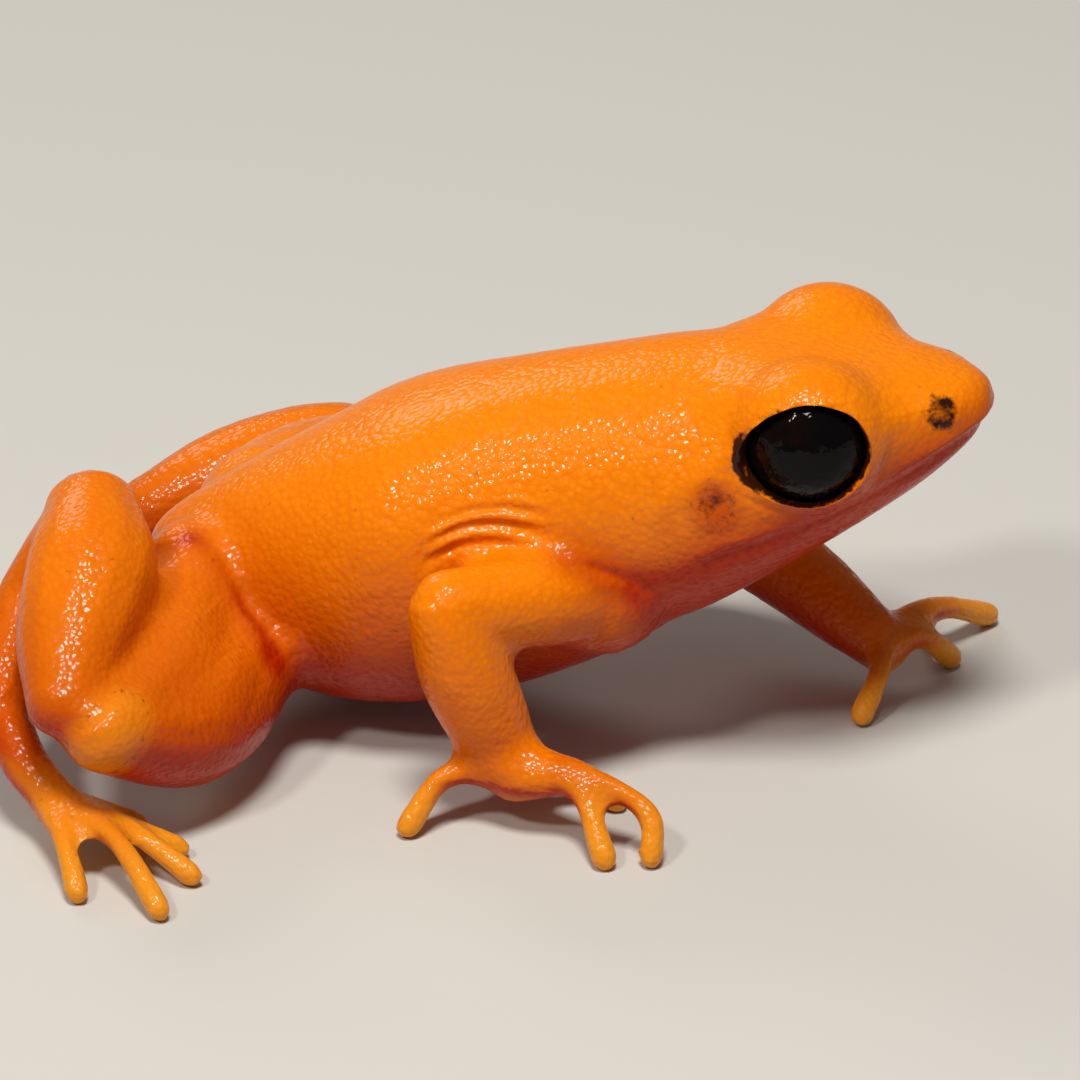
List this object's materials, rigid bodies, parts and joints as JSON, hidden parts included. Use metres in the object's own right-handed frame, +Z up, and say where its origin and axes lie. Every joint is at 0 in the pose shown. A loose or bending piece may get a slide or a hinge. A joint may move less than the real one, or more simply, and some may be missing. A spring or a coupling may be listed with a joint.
{
  "type": "golden mantella frog model",
  "caption": "Still life-size golden mantella, a small orange frog, sitting with chest raised on its hands, head lifted and hind legs folded.",
  "frame": {"origin": "centre of the frog's bounding box at the level of the floor it stands on", "axes": "+X the way the frog faces, +Y its left side, +Z up"},
  "size_m": [0.0266, 0.0288, 0.0122],
  "materials": {
    "skin": "moist, finely granular skin, glossy",
    "eye": "wet, mirror-like, near-black"
  },
  "bodies": {
    "root": {"head": "skin", "torso": "skin", "eye_left": "eye", "eye_right": "eye", "upper_arm_left": "skin", "upper_arm_right": "skin", "forearm_left": "skin", "forearm_right": "skin", "hand_left": "skin", "hand_right": "skin", "thigh_left": "skin", "thigh_right": "skin", "shank_left": "skin", "shank_right": "skin", "tarsus_left": "skin", "tarsus_right": "skin", "foot_left": "skin", "foot_right": "skin"}
  },
  "joints": []
}
